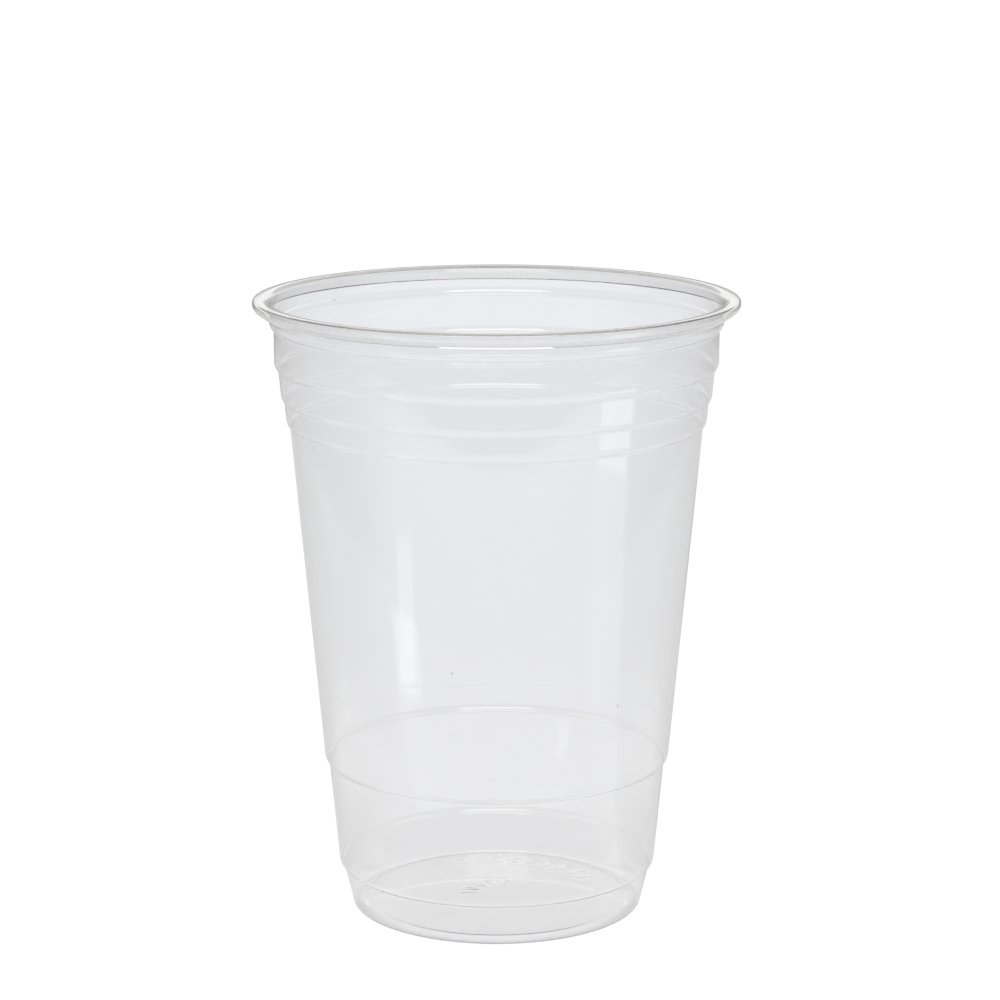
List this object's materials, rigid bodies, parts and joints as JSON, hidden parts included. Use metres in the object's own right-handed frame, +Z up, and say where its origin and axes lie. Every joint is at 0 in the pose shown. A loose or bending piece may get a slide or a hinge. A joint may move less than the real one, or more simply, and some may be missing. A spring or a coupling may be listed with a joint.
{
  "type": "clear plastic disposable cup",
  "caption": "Thin clear drinking cup with a rolled rim, a straight neck, stepped stacking rings under the mouth, a long tapered grip and a stepped foot round a raised base.",
  "frame": {"origin": "centre of the standing ring, at the level of the table", "axes": "+Z up along the cup's axis, out of the mouth; the cup is round, so X and Y may point anywhere across it"},
  "size_m": [0.098, 0.098, 0.1262],
  "materials": {
    "clear_plastic": "clear, glossy formed sheet, smooth on both faces"
  },
  "bodies": {
    "root": {"cup": "clear_plastic"}
  },
  "joints": []
}
